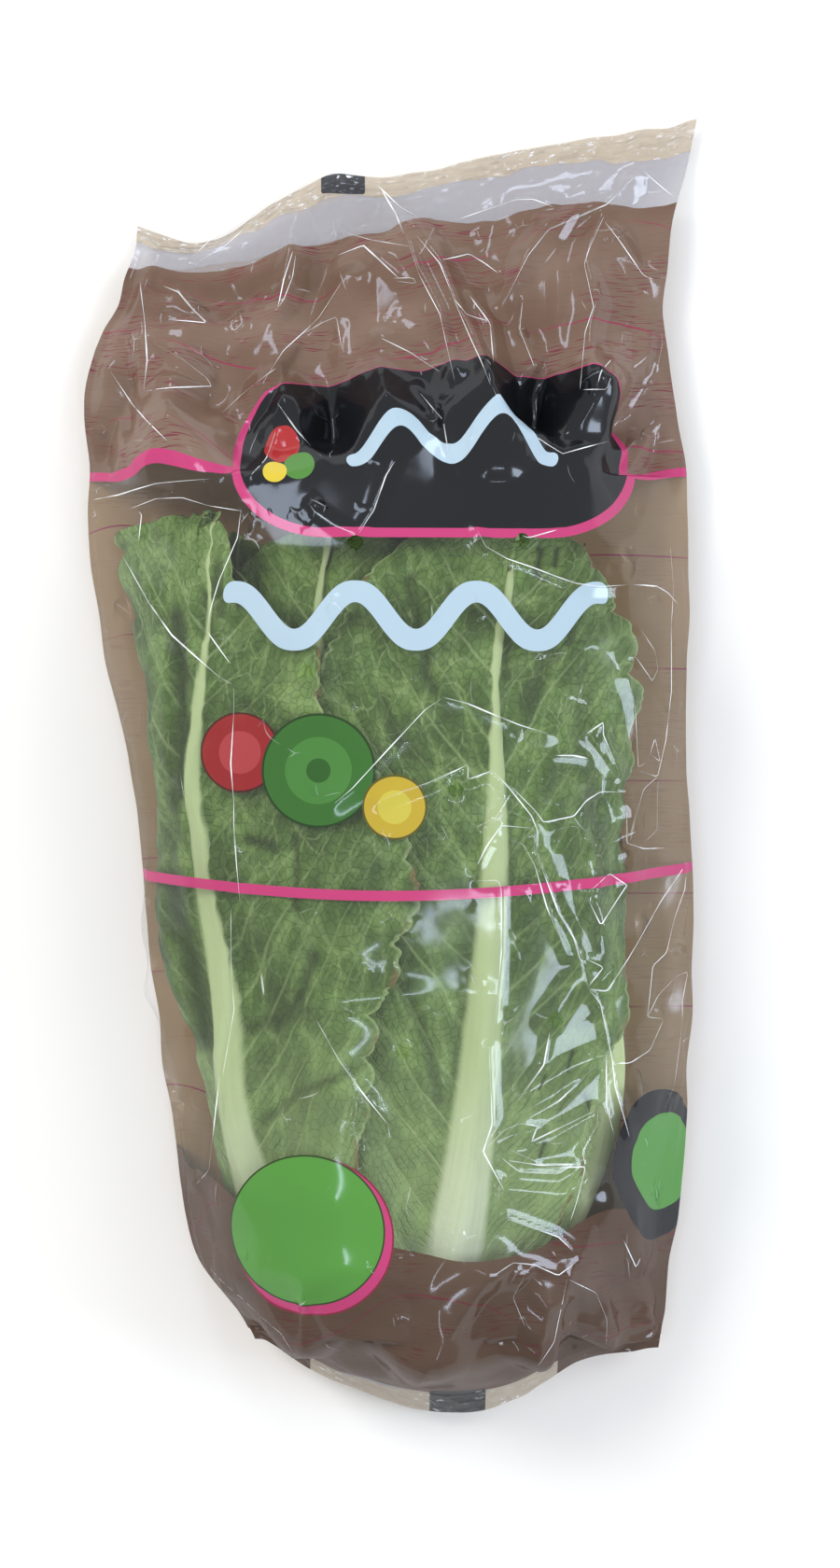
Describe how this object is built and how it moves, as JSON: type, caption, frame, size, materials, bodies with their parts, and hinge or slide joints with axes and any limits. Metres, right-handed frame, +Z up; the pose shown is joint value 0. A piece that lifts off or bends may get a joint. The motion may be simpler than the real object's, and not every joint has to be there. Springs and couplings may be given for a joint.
{
  "type": "romaine lettuce head",
  "caption": "Romaine lettuce head of overlapping crinkled leaves, lying on its back in a loose clear film bag with tinted ends.",
  "frame": {"origin": "on the supporting surface, under the middle of the bag's outline", "axes": "+Y from the cut butt to the leaf tips, +Z up from the surface the bag lies on, +X to the right"},
  "size_m": [0.2103, 0.442, 0.0949],
  "materials": {
    "stem": "satin",
    "heart": "satin",
    "inner_leaf": "satin",
    "outer_leaf": "satin",
    "film": "gloss"
  },
  "bodies": {
    "root": {"stem": "stem", "heart": "heart", "leaf_01": "inner_leaf", "leaf_02": "inner_leaf", "leaf_03": "inner_leaf", "leaf_04": "inner_leaf", "leaf_05": "inner_leaf", "leaf_06": "outer_leaf", "leaf_07": "outer_leaf", "leaf_08": "outer_leaf", "leaf_09": "outer_leaf", "leaf_10": "outer_leaf", "leaf_11": "outer_leaf", "film_bag": "film"}
  },
  "joints": []
}
